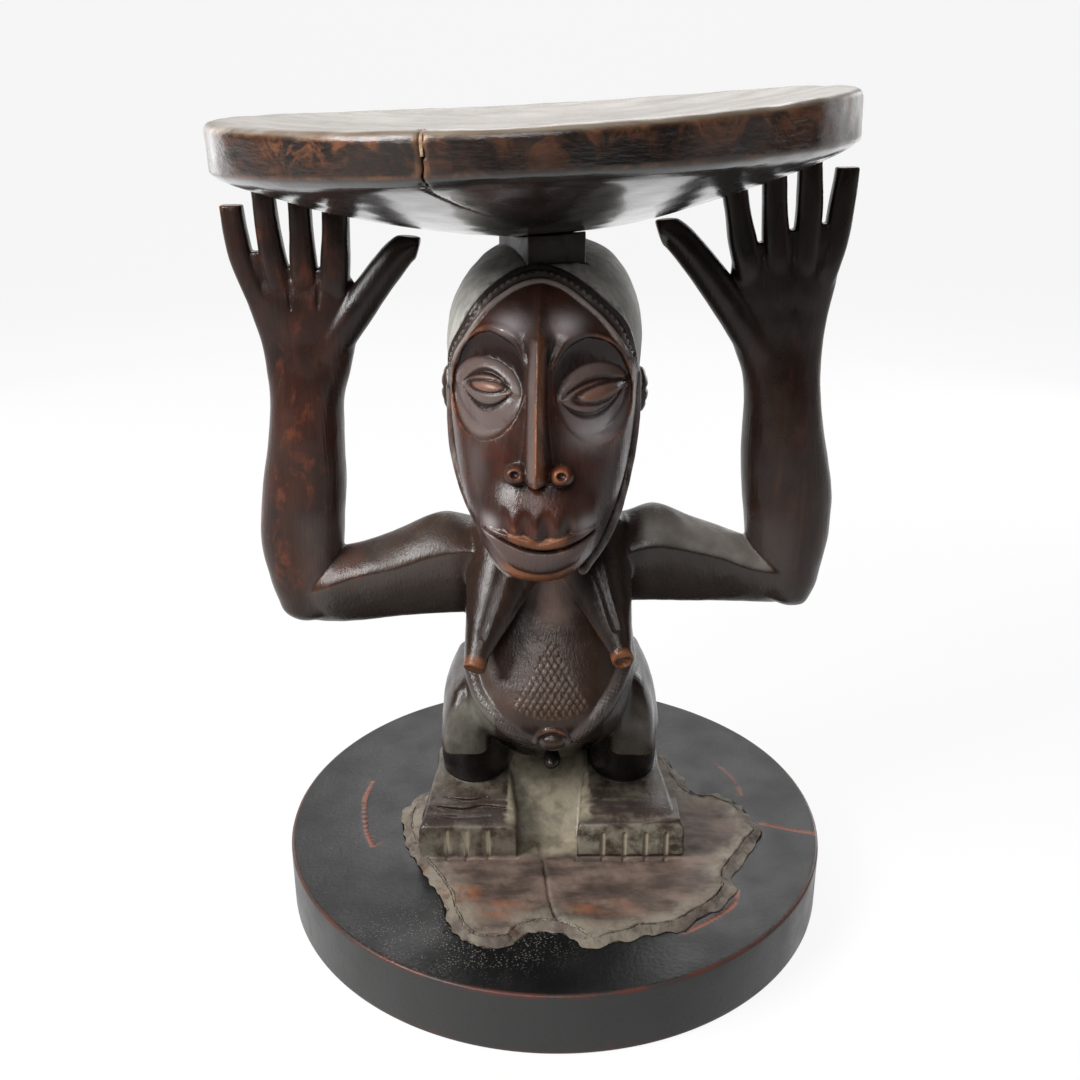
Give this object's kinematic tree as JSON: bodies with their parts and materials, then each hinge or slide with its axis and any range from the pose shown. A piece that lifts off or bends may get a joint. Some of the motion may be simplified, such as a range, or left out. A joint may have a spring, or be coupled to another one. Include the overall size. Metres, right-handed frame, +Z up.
{
  "type": "carved stool",
  "caption": "Carved wooden stool: a squatting figure with raised hands holds a round dished seat on its head, on a black turned disc.",
  "frame": {"origin": "middle of the base disc's underside, on the floor", "axes": "+Z up, the figure faces -Y, +X to the right as seen from the front"},
  "size_m": [0.3375, 0.326, 0.4589],
  "materials": {
    "seat_wood": "dark brown hardwood, oiled and worn, satin",
    "carved_wood": "dark brown hardwood with a polished patina and orange wear on the ridges",
    "black_wood": "black stained wood, satin, red-brown at the worn edges",
    "grey_putty": "matt grey-green filler",
    "tan_filler": "matt tan wood filler",
    "screw_steel": "dull steel"
  },
  "bodies": {
    "root": {"seat": "seat_wood", "seat_crack_fill": "tan_filler", "caryatid_figure": "carved_wood", "base_disc": "black_wood", "putty_bed": "grey_putty", "base_screw_1": "screw_steel", "base_screw_2": "screw_steel", "base_screw_3": "screw_steel", "base_screw_4": "screw_steel"}
  },
  "joints": []
}
